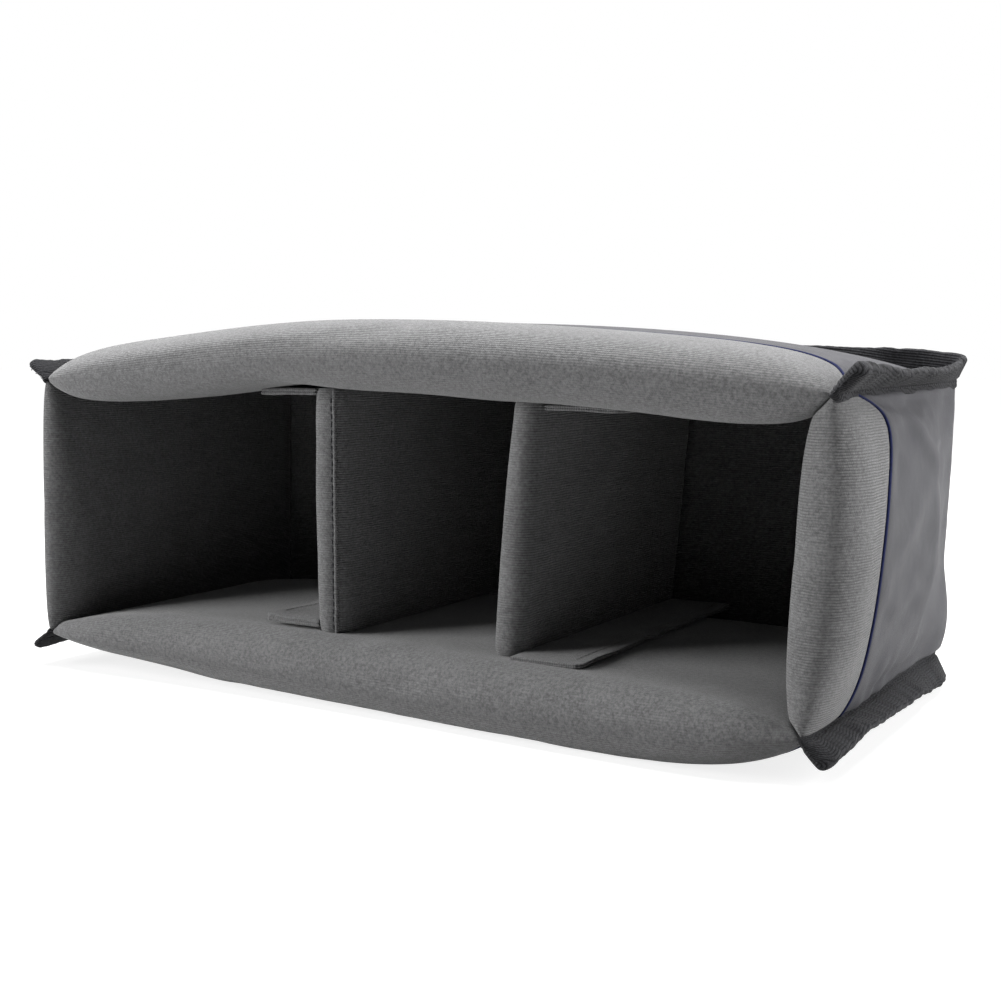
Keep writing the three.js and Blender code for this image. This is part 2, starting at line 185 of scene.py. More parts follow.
def curve(x, points):
    """A smooth line through points, flat at its ends."""
    xs, ys = np.array(points, float).T
    slopes = np.zeros(len(xs))
    slopes[1:-1] = (ys[2:] - ys[:-2]) / (xs[2:] - xs[:-2])
    k = np.clip(np.searchsorted(xs, x) - 1, 0, len(xs) - 2)
    width = xs[k + 1] - xs[k]
    s = np.clip((x - xs[k]) / width, 0, 1)
    near, far = (1 + 2 * s) * (1 - s) ** 2, s * s * (3 - 2 * s)
    bend = s * (1 - s) ** 2 * slopes[k] - s * s * (1 - s) * slopes[k + 1]
    return near * ys[k] + far * ys[k + 1] + width * bend


def ease(x, low, high):
    share = np.clip((x - low) / (high - low), 0, 1)
    return share * share * (3 - 2 * share)


def ripple(points, length, seed, count=14):
    """Smooth noise of about -1 to 1 at points, made of waves about as long as length."""
    rng = np.random.default_rng(seed)
    directions = unit(rng.normal(size=(count, points.shape[-1])))
    lengths = length * rng.uniform(0.6, 1.6, count)
    phases = rng.uniform(0, 2 * np.pi, count)
    turns = points @ (directions * (2 * np.pi / lengths)[:, None]).T + phases
    return np.sin(turns).sum(-1) / math.sqrt(count)


def grid_normals(grid):
    return unit(np.cross(np.gradient(grid, axis=1), np.gradient(grid, axis=0)))


def grid_faces(rows, columns, start=0, closed=False):
    """Four-sided faces of a grid of points. closed joins the last column to the first."""
    last = columns if closed else columns - 1
    r, c = np.meshgrid(np.arange(rows - 1), np.arange(last), indexing="ij")
    c1 = (c + 1) % columns
    ends = [r * columns + c, r * columns + c1, (r + 1) * columns + c1, (r + 1) * columns + c]
    return (np.stack(ends, -1).reshape(-1, 4) + start).tolist()


def add_object(name, data):
    item = bpy.data.objects.new(name, data)
    bpy.context.scene.collection.objects.link(item)
    return item


def add_mesh(name, points, faces, material, body, replaces=(), slot=None, weave=None, level=0):
    """A piece from points in mm. weave holds each point's place on the cloth: along its ribs and across."""
    mesh = bpy.data.meshes.new(name)
    mesh.from_pydata((np.asarray(points) * MM).tolist(), [], faces)
    shape = bmesh.new()
    shape.from_mesh(mesh)
    bmesh.ops.recalc_face_normals(shape, faces=shape.faces)
    shape.to_mesh(mesh)
    shape.free()
    mesh.polygons.foreach_set("use_smooth", [True] * len(mesh.polygons))
    if weave is not None:
        places = np.zeros((len(mesh.vertices), 3), np.float32)
        places[:, :2] = np.asarray(weave) * MM
        mesh.attributes.new("weave", "FLOAT_VECTOR", "POINT").data.foreach_set("vector", places.ravel())
    mesh.materials.append(material)
    piece = add_object(name, mesh)
    if level:
        refine = piece.modifiers.new("refine", "SUBSURF")
        refine.levels = refine.render_levels = level
    if body:
        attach(piece, body)
    if replaces:
        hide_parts(*replaces)
    return piece


def sheet_mesh(outer, inner):
    """Points and faces of the closed body between two grids."""
    rows, columns = outer.shape[:2]
    size = rows * columns
    faces = grid_faces(rows, columns) + grid_faces(rows, columns, size)
    at = np.arange(size).reshape(rows, columns)
    rim = np.concatenate([at[0, :], at[1:, -1], at[-1, -2::-1], at[-2:0:-1, 0]])
    after = np.roll(rim, -1)
    faces += np.stack([rim, after, after + size, rim + size], -1).tolist()
    return np.concatenate([outer.reshape(-1, 3), inner.reshape(-1, 3)]), faces


def add_sheet(name, outer, inner, weave, material, body, held=None, rests_on=(), level=1, **facts):
    """A cloth piece between two grids. held is not used."""
    points, faces = sheet_mesh(outer, inner)
    places = np.concatenate([weave.reshape(-1, 2)] * 2)
    piece = add_mesh(name, points, faces, material, body, weave=places, level=level, **facts)
    return piece


def add_loft(name, loops, material, body, weave=None, level=0, **facts):
    """The closed body through a row of closed loops."""
    rows, count = loops.shape[:2]
    faces = grid_faces(rows, count, closed=True)
    faces.append(list(range(count)))
    faces.append(list(range((rows - 1) * count, rows * count)))
    places = None if weave is None else weave.reshape(-1, 2)
    return add_mesh(name, loops.reshape(-1, 3), faces, material, body, weave=places, level=level, **facts)


def tube(line, across, up, width, height, rise=0.0):
    """Loops round a line, half as wide as width and height say, lifted by rise."""
    angles = around(10)
    return (line[:, None] + across[:, None] * (np.cos(angles) * width)[:, None]
            + up[:, None] * (np.sin(angles) * height + rise)[:, None])


# Materials

def new_material(name, color, roughness, **settings):
    material = bpy.data.materials.new(name)
    material.use_nodes = True
    shader = material.node_tree.nodes["Principled BSDF"]
    shader.inputs["Base Color"].default_value = (*color, 1)
    shader.inputs["Roughness"].default_value = roughness
    for socket, value in settings.items():
        shader.inputs[socket.replace("_", " ")].default_value = value
    return material, Nodes(material.node_tree, shader)


class Nodes:
    """Short names for the nodes of one material or of the world."""

    def __init__(self, tree, shader=None):
        self.tree = tree
        self.shader = shader

    def new(self, kind, **settings):
        node = self.tree.nodes.new("ShaderNode" + kind)
        for key, value in settings.items():
            setattr(node, key, value)
        return node

    def join(self, source, target):
        self.tree.links.new(source, target)

    def math(self, operation, a, b=0.0):
        node = self.new("Math", operation=operation)
        for socket, value in zip(node.inputs, (a, b)):
            if isinstance(value, (int, float)):
                socket.default_value = value
            else:
                self.join(value, socket)
        return node.outputs[0]

    def sine(self, value, turn):
        return self.math("SINE", self.math("MULTIPLY", value, turn))

    def ribs(self, value, turn):
        return self.math("ABSOLUTE", self.sine(value, turn))

    def by_ray(self, lighting, seen, surface):
        """Seen for the rays that see the white background, lighting for those that only carry light."""
        rays = self.new("LightPath").outputs
        others = self.math("MAXIMUM", rays["Is Glossy Ray"], rays["Is Transmission Ray"])
        share = self.math("MAXIMUM", rays["Is Camera Ray"], others)
        mixed = self.new("MixShader")
        for source, target in zip((share, lighting, seen), mixed.inputs):
            self.join(source, target)
        self.join(mixed.outputs[0], surface)

    def weave(self):
        """Place on the cloth in metres: along its ribs, and across them."""
        place = self.new("Attribute", attribute_name="weave")
        split = self.new("SeparateXYZ")
        self.join(place.outputs["Vector"], split.inputs[0])
        return split.outputs[0], split.outputs[1]

    def noise(self, scale, detail=2.0, roughness=0.5):
        node = self.new("TexNoise")
        node.inputs["Scale"].default_value = scale
        node.inputs["Detail"].default_value = detail
        node.inputs["Roughness"].default_value = roughness
        self.join(self.new("TexCoord").outputs["Object"], node.inputs["Vector"])
        return node.outputs["Fac"]

    def ramp(self, value, low, high, to_low=0.0, to_high=1.0):
        node = self.new("MapRange")
        limits = {"From Min": low, "From Max": high, "To Min": to_low, "To Max": to_high}
        for socket, number in limits.items():
            node.inputs[socket].default_value = number
        self.join(value, node.inputs["Value"])
        return node.outputs["Result"]

    def mix(self, share, low, high):
        node = self.new("Mix", data_type="RGBA")
        self.join(share, node.inputs["Factor"])
        for socket, value in (("A", low), ("B", high)):
            target = [i for i in node.inputs if i.name == socket and i.type == "RGBA"][0]
            if isinstance(value, tuple):
                target.default_value = (*value, 1)
            else:
                self.join(value, target)
        return [o for o in node.outputs if o.type == "RGBA"][0]

    def bump(self, height, strength, distance):
        node = self.new("Bump")
        node.inputs["Strength"].default_value = strength
        node.inputs["Distance"].default_value = distance
        self.join(height, node.inputs["Height"])
        self.join(node.outputs[0], self.shader.inputs["Normal"])

    def paint(self, color):
        self.join(color, self.shader.inputs["Base Color"])


def shade(color, share):
    return tuple(channel * share for channel in color)


def knit_material(name, color, ribbed):
    """Loop knit: ribs with painted shade in their grooves, clear by the share ribbed, a speckled yarn and
    some fuzz.
    """
    material, n = new_material(name, color, 0.95, Sheen_Weight=0.4, Sheen_Roughness=0.5,
                               Specular_IOR_Level=0.1)
    along, across = n.weave()
    wander = n.ramp(n.noise(110, 2), 0, 1, -0.4, 0.4)
    phase = n.math("ADD", n.math("DIVIDE", across, KNIT_RIB * MM), wander)
    rib = n.ribs(phase, math.pi)
    loop = n.math("ADD", n.math("DIVIDE", along, 0.8 * MM), n.math("MULTIPLY", n.math("FLOOR", phase), 0.5))
    loops = n.ribs(loop, math.pi)
    speckle = n.noise(800, 4, 0.8)
    tone = n.ramp(speckle, 0.36, 0.64)
    cloud = n.noise(45, 3, 0.6)
    clear = n.ramp(n.noise(60, 2), 0.35, 0.65, 0.2 * ribbed, ribbed)
    # painted shade: the colour is darkened in the grooves between the ribs, where shade falls
    groove_shade = n.math("MULTIPLY", n.ramp(rib, 0.1, 0.8, 1, 0), clear)
    dark_part = n.mix(tone, shade(color, 0.6), shade(color, 1.35))
    light_part = n.mix(tone, shade(color, 0.74), shade(color, 1.45))
    clouded = n.mix(n.ramp(cloud, 0.3, 0.7), dark_part, light_part)
    n.paint(n.mix(n.math("MULTIPLY", groove_shade, 0.65), clouded, shade(color, 0.3)))
    height = n.math("ADD", n.math("MULTIPLY", rib, 0.8 * ribbed), n.math("MULTIPLY", loops, 0.1))
    fuzzy = n.math("ADD", height, n.math("MULTIPLY", speckle, 0.7))
    n.bump(fuzzy, 0.8, 0.0004)
    return material


def nylon_material(name, color):
    """Coated plain-weave nylon: a fine even weave with painted shade in its hollows, a low shine and faint
    handling marks.
    """
    material, n = new_material(name, color, 0.6, Sheen_Weight=0.12, Sheen_Roughness=0.4,
                               Specular_IOR_Level=0.12)
    along, across = n.weave()
    turn = 2 * math.pi / (0.5 * MM)
    weave = n.math("MULTIPLY", n.sine(along, turn), n.sine(across, turn))
    marks = n.noise(60, 4, 0.6)
    grain = n.noise(900, 2, 0.6)
    toned = n.mix(n.ramp(grain, 0.3, 0.7), shade(color, 0.88), shade(color, 1.1))
    marked = n.mix(n.ramp(marks, 0.35, 0.7), toned, shade(color, 1.16))
    # painted shade: the colour is darkened a little in the weave's hollows
    n.paint(n.mix(n.ramp(weave, -1, 1, 0.16, 0), marked, shade(color, 0.55)))
    n.join(n.ramp(marks, 0.3, 0.7, 0.54, 0.68), n.shader.inputs["Roughness"])
    crease = n.math("ADD", n.math("MULTIPLY", weave, 0.12), n.math("MULTIPLY", n.noise(240, 3, 0.5), 0.9))
    n.bump(crease, 0.35, 0.0005)
    return material


def tape_material(name, color):
    """Woven tape with ribs along it and painted shade in the grooves between them, matt, a little worn on its
    ribs.
    """
    material, n = new_material(name, color, 0.9, Sheen_Weight=0.12, Sheen_Roughness=0.4,
                               Specular_IOR_Level=0.06)
    along, across = n.weave()
    rib = n.ribs(across, math.pi / (TAPE_RIB * MM))
    yarn = n.sine(along, 2 * math.pi / (0.6 * MM))
    speckle = n.noise(1300, 3, 0.7)
    toned = n.mix(n.ramp(speckle, 0.35, 0.65), shade(color, 0.6), shade(color, 1.5))
    # painted shade: the colour is darkened in the grooves between the ribs, where shade falls
    ribbed = n.mix(n.ramp(rib, 0.1, 0.75, 0.85, 0), toned, shade(color, 0.15))
    worn = n.ramp(n.noise(90, 3), 0.5, 0.8, 0, 0.4)
    n.paint(n.mix(worn, ribbed, shade(color, 1.5)))
    height = n.math("ADD", n.math("MULTIPLY", yarn, 0.1), n.math("MULTIPLY", speckle, 0.5))
    n.bump(n.math("ADD", height, rib), 0.8, 0.0003)
    return material


def plain_cloth(name, color, roughness, grain=900):
    """A small cloth or thread piece: speckled, with a fine bump."""
    material, n = new_material(name, color, roughness, Sheen_Weight=0.05, Specular_IOR_Level=0.1)
    speckle = n.noise(grain, 3, 0.65)
    n.paint(n.mix(n.ramp(speckle, 0.3, 0.7), shade(color, 0.7), shade(color, 1.35)))
    n.bump(speckle, 0.5, 0.0002)
    return material


def foam_material():
    """Pale closed-cell foam with its cut cells, their pits darkened with painted shade."""
    color = (0.45, 0.46, 0.44)
    material, n = new_material("pad_foam", color, 0.9)
    cells = n.new("TexVoronoi")
    cells.inputs["Scale"].default_value = 900
    n.join(n.new("TexCoord").outputs["Object"], cells.inputs["Vector"])
    # painted shade: the colour is darkened in the cut cells' pits
    n.paint(n.mix(n.ramp(cells.outputs["Distance"], 0.1, 0.7), shade(color, 0.6), color))
    n.bump(cells.outputs["Distance"], 0.6, 0.0003)
    return material


GREY = (0.145, 0.145, 0.147)
NEAR_BLACK = (0.034, 0.034, 0.037)
KNIT = knit_material("lining_knit", GREY, 1.0)
BRUSHED_KNIT = knit_material("brushed_knit", GREY, 0.35)
NYLON = nylon_material("shell_nylon", (0.055, 0.0545, 0.061))
TAPE = tape_material("binding_tape", NEAR_BLACK)
NAVY = plain_cloth("navy_trim", (0.012, 0.016, 0.06), 0.9)
TAB = knit_material("tab_knit", GREY, 0.5)
TAPE_YARN = plain_cloth("tape_yarn", NEAR_BLACK, 0.8, 2500)
THREAD = plain_cloth("dark_thread", (0.03, 0.03, 0.034), 0.6, 2500)
GREY_THREAD = plain_cloth("grey_thread", (0.2, 0.2, 0.2), 0.7, 2500)
HOOKS = plain_cloth("hook_tape", (0.012, 0.012, 0.014), 0.5, 1500)
FOAM = foam_material()


# Walls. On each, t runs along it from -1 to 1, v back from the front seam and w outwards.

@dataclass
class Wall:
    """seam is where it stands, side the way it faces, and upright marks the end walls. powers round off the
    left and right end of the inner half, of the outer half's front and of its back. edge gives how far back
    the lining reaches outside, at places along the wall."""

    name: str
    seam: float
    side: int
    halves: tuple
    bow: float
    powers: tuple
    edge: tuple
    peak: float = 0.0
    bow_powers: tuple = (1, 1)
    roll: object = lambda t: ROLL + 0 * t
    lip: tuple = ((-1, 0), (1, 0))
    dent: object = lambda t: 0 * t
    hollow: float = 0
    upright: bool = False
    floor: float = None

    def __post_init__(self):
        self.half_span = (HEIGHT if self.upright else LENGTH) / 2
        self.t = closer(np.linspace(-1, 1, 65 if self.upright else 97))

    def place(self, u, depth, offset):
        """Points from their place along the wall, back from the front seam and outwards."""
        out = self.seam + self.side * offset
        y = depth - DEPTH / 2
        return lean(np.stack([out, y, MIDDLE_HEIGHT + u] if self.upright else [u, y, out], -1))

    def section(self, t):
        """The sizes of the cross-section at the places t."""
        inner, outer, back = (np.sqrt(np.maximum(0, 1 - np.abs(t) ** np.where(t < 0, *powers)))
                              for powers in self.powers)
        reach = np.where(t < self.peak, (self.peak - t) / (1 + self.peak), (t - self.peak) / (1 - self.peak))
        power = np.where(t < self.peak, *self.bow_powers)
        u = t * (self.half_span - SEAM_CLEAR)
        return {
            "u": u,
            "inner": SEAM_THIN + (self.halves[0] - SEAM_THIN) * inner - self.dent(t),
            "outer": SEAM_THIN + (self.halves[1] - SEAM_THIN) * outer,
            "back": SEAM_THIN + (self.halves[1] - SEAM_THIN) * back,
            "bow": self.bow * np.maximum(0, np.cos(np.minimum(reach, 1) * math.pi / 2)) ** power,
            "lip": LIP * outer + curve(t, self.lip),
            "roll": self.roll(t),
            "edge": curve(t, self.edge),
            "mitre": self.half_span - np.abs(u) - GAP,
        }

    def taper(self, v, side):
        """How much of the wall's swell is left at v. The end walls' shells run straight to the seam."""
        share = np.clip((v - TAPER_START) / (BACK_END - TAPER_START), 0, 1)
        full = (1 - share ** 2) ** TAPER_POWER
        if not self.upright:
            return np.where(side < 0, full * (1 - self.hollow * ease(v, *HOLLOW_SPAN)), full)
        share = np.clip((v - SHELL_TAPER_START) / (BACK_END - SHELL_TAPER_START), 0, 1)
        return np.where(side > 0, 1 - share ** SHELL_TAPER_POWER, full)

    def points(self, t, side, v, inset=0.0):
        """Points of the surface, or of a layer under it. side has one value a row: 1 outside, -1 inside."""
        s = self.section(t)
        side = side[:, None]
        outer = s["outer"] + (s["back"] - s["outer"]) * ease(v, *FORM_SPAN)
        half = np.where(side > 0, outer, s["inner"])
        axis = np.where(side > 0, s["roll"], s["inner"])
        centre = axis - s["lip"]
        forward = np.clip((centre - v) / axis, 0, 1)
        depth = np.where(v < centre, centre - (axis - inset) * forward, v)
        nose = s["bow"] + side * (half - inset) * np.sqrt(1 - forward ** 2)
        swell = (half + side * s["bow"] - SEAM_THIN) * self.taper(v, side)
        offset = np.where(v < centre, nose, side * (SEAM_THIN + swell - inset))
        room = np.minimum(s["mitre"], DEPTH - depth - GAP)
        offset = np.where(side < 0, np.maximum(offset, np.minimum(inset - room, SEAM_THIN / 2)), offset)
        if self.floor is not None:
            offset = np.where(side > 0, np.minimum(offset, self.floor - inset), offset)
        return self.place(s["u"] + 0 * v, depth, offset)

    def rows(self):
        """Sides and depths of every row, from the inner back edge over the roll to the outer back edge."""
        s = self.section(self.t)
        thin = TAPER_START + (BACK_END - TAPER_START) * np.sin(steps(9) * math.pi / 2)
        thin_rows = thin[:, None] + 0 * self.t
        centre = s["inner"] - s["lip"]
        flat = centre + (TAPER_START - centre) * steps(15)[:-1, None]
        nose = centre - s["inner"] * np.sin(steps(9)[1:, None] * math.pi / 2)
        wrap = (s["edge"] + s["lip"]) * steps(12)[1:, None] ** 2 - s["lip"]
        start = s["edge"] + TRIM_WIDTH
        back = start + (TAPER_START - start) * steps(24)[:-1, None]
        inside = np.concatenate([thin_rows[::-1], flat[::-1], nose])
        outside = np.concatenate([wrap, back, thin_rows])
        side = np.concatenate([-np.ones(len(inside)), np.ones(len(outside))])
        lining_count = len(inside) + len(wrap)
        return side, np.concatenate([inside, outside]), len(inside) - 1, lining_count


PLAIN_EDGE = ((-1, 9), (-0.8, 22), (-0.4, 29), (0, 31), (0.4, 29), (0.8, 22), (1, 9))
TOP_EDGE = ((-1, 9), (-0.85, 24), (-0.5, 31), (0.2, 36), (0.6, 36), (0.85, 32), (0.95, 26), (1, 16))
RIGHT_EDGE = ((-1, 31), (-0.75, 31), (-0.4, 27.5), (0, 26.5), (0.4, 31.5), (0.75, 39.5), (0.87, 37),
              (0.95, 27), (1, 17))


def top_dent(t):
    """The top wall gives over the left divider's tab, and hangs a little lower beside the right one."""
    reach = (t + 0.28) / np.where(t < -0.28, 0.155, 0.112)
    return 2.7 * np.exp(-reach ** 2) - 0.8 * np.exp(-((t - 0.24) / 0.12) ** 2)


WALLS = [
    Wall("top", TOP_SEAM, 1, (13.4, 13.4), 10.3, ((5, 9), (12, 9), (6, 4)), TOP_EDGE,
         peak=-0.135, bow_powers=(1.5, 1.1), dent=top_dent, hollow=0.35),
    Wall("bottom", SEAM_RISE, -1, (14.2, 14.2), 2.6, ((4, 4), (4, 7), (4, 4)), PLAIN_EDGE,
         peak=0.3, bow_powers=(0.6, 0.6), roll=lambda t: 15 + 18 * (t - 0.35) ** 2,
         lip=((-1, 0), (-0.6, -4), (0, -2), (0.5, 3), (0.85, 5), (1, 0)), floor=SEAM_RISE),
    Wall("left", -LENGTH / 2, -1, (8.1, 5.8), -1.5, ((2, 2), (2, 2), (2, 2)), PLAIN_EDGE, upright=True),
    Wall("right", LENGTH / 2, 1, (12.6, 9.7), 3.1, ((2, 2.8), (2, 2), (2, 2)), RIGHT_EDGE, upright=True),
]


def cloth_places(grid, start_row, across_rows):
    """Each point's place on the cloth: its distance along the wall, and from the row start_row."""
    along = running(np.linalg.norm(np.diff(grid[start_row], axis=0), axis=-1))
    run = running(np.linalg.norm(np.diff(grid, axis=0), axis=-1))
    across = run - run[start_row]
    along = along + 0 * across
    return np.stack([along, across] if across_rows else [across, along], -1)


def settle(grid, slack, frames=18):
    """Moves of a cloth grid that is held along its border, let go with some slack, less their slow part."""
    rows, columns = grid.shape[:2]
    mesh = bpy.data.meshes.new("cloth")
    mesh.from_pydata((grid.reshape(-1, 3) * MM).tolist(), [], grid_faces(rows, columns))
    cloth_object = add_object("cloth", mesh)
    held = cloth_object.vertex_groups.new(name="held")
    at = np.arange(rows * columns).reshape(rows, columns)
    border = np.concatenate([at[0], at[-1], at[:, 0], at[:, -1]])
    held.add([int(k) for k in np.unique(border)], 1.0, "REPLACE")
    loose = cloth_object.vertex_groups.new(name="loose")
    for k, share in enumerate(slack.ravel()):
        loose.add([k], float(share), "REPLACE")
    cloth = cloth_object.modifiers.new("cloth", "CLOTH")
    for key, value in CLOTH.items():
        setattr(cloth.settings, key, value)
    cloth.settings.effector_weights.gravity = 0
    cloth.collision_settings.use_collision = False
    scene = bpy.context.scene
    for number in range(1, frames + 1):
        scene.frame_set(number)
    seen = cloth_object.evaluated_get(bpy.context.evaluated_depsgraph_get())
    moved = np.zeros(rows * columns * 3)
    seen.data.vertices.foreach_get("co", moved)
    scene.frame_set(1)
    bpy.data.objects.remove(cloth_object)
    bpy.data.meshes.remove(mesh)
    move = moved.reshape(rows, columns, 3) / MM - grid
    slow = move.copy()
    for _ in range(40):
        padded = np.pad(slow, ((1, 1), (1, 1), (0, 0)), mode="edge")
        slow = (padded[2:, 1:-1] + padded[:-2, 1:-1] + padded[1:-1, 2:] + padded[1:-1, :-2]) / 4
        slow[[0, -1]] = 0
        slow[:, [0, -1]] = 0
    return move - slow


def folds(wall, v):
    """The end shells' folds: soft slanted ones, others at the upper seam, short ones below, and a puff at the
    right shell's lower back corner."""
    if not wall.upright:
        return 0 * v
    height = wall.t * wall.half_span + 0 * v
    soft = 0.85 * ripple(np.stack([v - 1.5 * height, height / 3], -1), 52, 91)
    slanted = 0.7 * ripple(np.stack([v + 1.1 * height, (v - height) / 5], -1), 22, 93)
    short = 0.35 * ripple(np.stack([v, height / 4], -1), 11, 95)
    puff = 3.6 * np.exp(-((height + 39) / 15) ** 2) * ease(v, 100, 152) * (wall.name == "right")
    return soft + slanted * ease(height, 18, 46) + short * ease(-height, 30, 50) + puff


def add_wall(wall):
    side, v, front_row, lining_count = wall.rows()
    grid = wall.points(wall.t, side, v)
    rows, columns = grid.shape[:2]
    outward = grid_normals(grid)
    middle = grid.reshape(-1, 3).mean(0)
    if ((grid - middle) * outward).sum(-1).mean() < 0:
        outward = -outward
    row_number, column_number = np.indices((rows, columns))
    outside = row_number >= lining_count
    move = np.zeros_like(grid)
    move = settle(grid, np.where(outside, 1.0, LINING_SLACK))
    lift = (move * outward).sum(-1)
    cap = np.where(outside, SHELL_LIFT, ROLL_LIFT)
    lift = cap * np.tanh(lift / cap)
    inner = row_number < front_row - 8
    lift = np.where(inner, np.minimum(lift, INSIDE_LIFT), lift)
    from_trim = row_number - lining_count + 0.5
    lift = lift * (1 - np.exp(-(from_trim / 4) ** 2))
    valley = np.exp(-(from_trim / 1.2) ** 2)
    border = np.minimum.reduce([row_number, rows - 1 - row_number,
                                column_number, columns - 1 - column_number])
    lift = (lift - 0.5 * valley) * ease(border, 0, 3)
    lift = lift + folds(wall, v) * outside * ease(from_trim, 1, 4) * ease(border, 0, 2)
    if wall.floor is not None:
        down = -outward[..., 2]
        lift = np.where(down > 0.2, np.minimum(lift, grid[..., 2] / np.maximum(down, 0.2)), lift)
    places = cloth_places(grid, front_row, wall.name in ("top", "bottom"))

    def layer(inset, rows_part):
        base = wall.points(wall.t, side, v, inset)
        return (base + outward * lift[..., None])[rows_part]

    lining, shell = slice(0, lining_count), slice(lining_count, rows)
    cloth = KNIT if wall.upright else BRUSHED_KNIT
    pad_name = f"pad_{wall.name}"
    for name, part, material, node, slot in (("knit", lining, cloth, "lining", "lining_knit"),
                                             ("nylon", shell, NYLON, "shell", "shell_nylon")):
        add_sheet(f"{name}_{wall.name}", layer(0, part), layer(FABRIC, part), places[part], material, BOX,
                  "stretched", [pad_name], replaces=[f"{node}_{wall.name}"], slot=slot)
    add_trim(wall, layer(0.3, slice(0, rows)), outward, lining_count)
    foam_v = np.minimum(v, BACK_END - PAD_END)
    foam = wall.points(wall.t, side, foam_v, INSIDE) + outward * lift[..., None]
    pad = add_loft(pad_name, foam.transpose(1, 0, 2)[4:-4], FOAM, BOX, replaces=[f"foam_{wall.name}"],
                   slot="pad_foam")


def add_trim(wall, grid, outward, lining_count):
    """The navy turned edge in the valley between lining and shell."""
    line = (grid[lining_count - 1] + grid[lining_count]) / 2
    up = unit((outward[lining_count - 1] + outward[lining_count]) / 2)
    across = unit(grid[lining_count] - grid[lining_count - 1])
    loops = tube(line, across, up, width=0.8, height=0.55, rise=0.1)
    add_loft(f"piping_{wall.name}", loops, NAVY, BOX, replaces=[f"edge_trim_{wall.name}"], slot="navy_trim")


for wall in WALLS:
    add_wall(wall)


# Base panel

def add_base():
    reach, rise = LENGTH / 2 + SEAM_THIN, HEIGHT / 2 + SEAM_THIN
    u = closer(np.linspace(-1, 1, 81)) * reach
    w = np.linspace(-1, 1, 33) * rise

    def layer(side, inset, us, ws):
        grid_u, grid_w = np.meshgrid(us, ws, indexing="ij")
        across = np.abs(grid_u) / reach
        up = np.abs(grid_w) / rise
        lens = np.sqrt(np.maximum(0, (1 - across ** 2) * (1 - up ** 2)))
        if side > 0:
            slope = 1 - BASE_FLAT_SHARE
            plateau = [1 - np.maximum(0, (s - BASE_FLAT_SHARE) / slope) ** 2 for s in (across, up)]
            offset, least = SEAM_THIN + BASE_STAND * plateau[0] * plateau[1], -BASE_OVERLAP
        else:
            room = np.minimum(LENGTH / 2 - np.abs(grid_u), HEIGHT / 2 - np.abs(grid_w)) - GAP
            offset, least = np.minimum(SEAM_THIN + BASE_SWELL * lens, np.maximum(room, 0)), -SEAM_THIN / 2
        soft = 0.35 * ripple(np.stack([grid_u, grid_w], -1), 45, 11) * lens
        y = DEPTH / 2 + side * np.maximum(offset - inset, least) - soft
        return lean(np.stack([grid_u, y, MIDDLE_HEIGHT + grid_w], -1))

    places = np.stack(np.meshgrid(u, w, indexing="ij"), -1)
    lining_u, lining_w = u * ((LENGTH / 2 + SEAM_CLEAR) / reach), w * ((HEIGHT / 2 + SEAM_CLEAR) / rise)
    add_sheet("knit_base", layer(-1, 0, lining_u, lining_w), layer(-1, FABRIC, lining_u, lining_w), places,
              KNIT, BOX, "stretched", ["pad_base"], replaces=["lining_base"], slot="lining_knit")
    add_sheet("nylon_base", layer(1, 0, u, w), layer(1, FABRIC, u, w), places, NYLON, BOX, "stretched",
              ["pad_base"], replaces=["shell_base"], slot="shell_nylon")
    inner_u, inner_w = u[6:-6], w[4:-4]
    points, faces = sheet_mesh(*(layer(side, INSIDE, inner_u, inner_w) for side in (-1, 1)))
    pad = add_mesh("pad_base", points, faces, FOAM, BOX, replaces=["foam_base"], slot="pad_foam")


add_base()


# Binding tape. Each runs back along one corner seam, across the base and forward along the other.

def tape_path(spacing):
    """Places along the seam: corner centre, heading and the distance run, from the left front end."""
    corner_x = LENGTH / 2 - BINDING_CORNER
    corner_y = DEPTH / 2 - BINDING_CORNER
    front = -DEPTH / 2 - BINDING_FRONT
    leg = corner_y - front
    bend = BINDING_CORNER * math.pi / 2
    total = 2 * leg + 2 * bend + 2 * corner_x
    s = np.linspace(0, total, int(total / spacing) + 1)
    turns = [0, leg + bend, leg + bend + 2 * corner_x, total]
    x = np.interp(s, turns, [-corner_x, -corner_x, corner_x, corner_x])
    y = np.interp(s, [0, leg, total - leg, total], [front, corner_y, corner_y, front])
    turn = [math.pi, math.pi, math.pi / 2, math.pi / 2, 0, 0]
    heading = np.interp(s, [0, leg, leg + bend, total - leg - bend, total - leg, total], turn)
    return s, x, y, heading, total


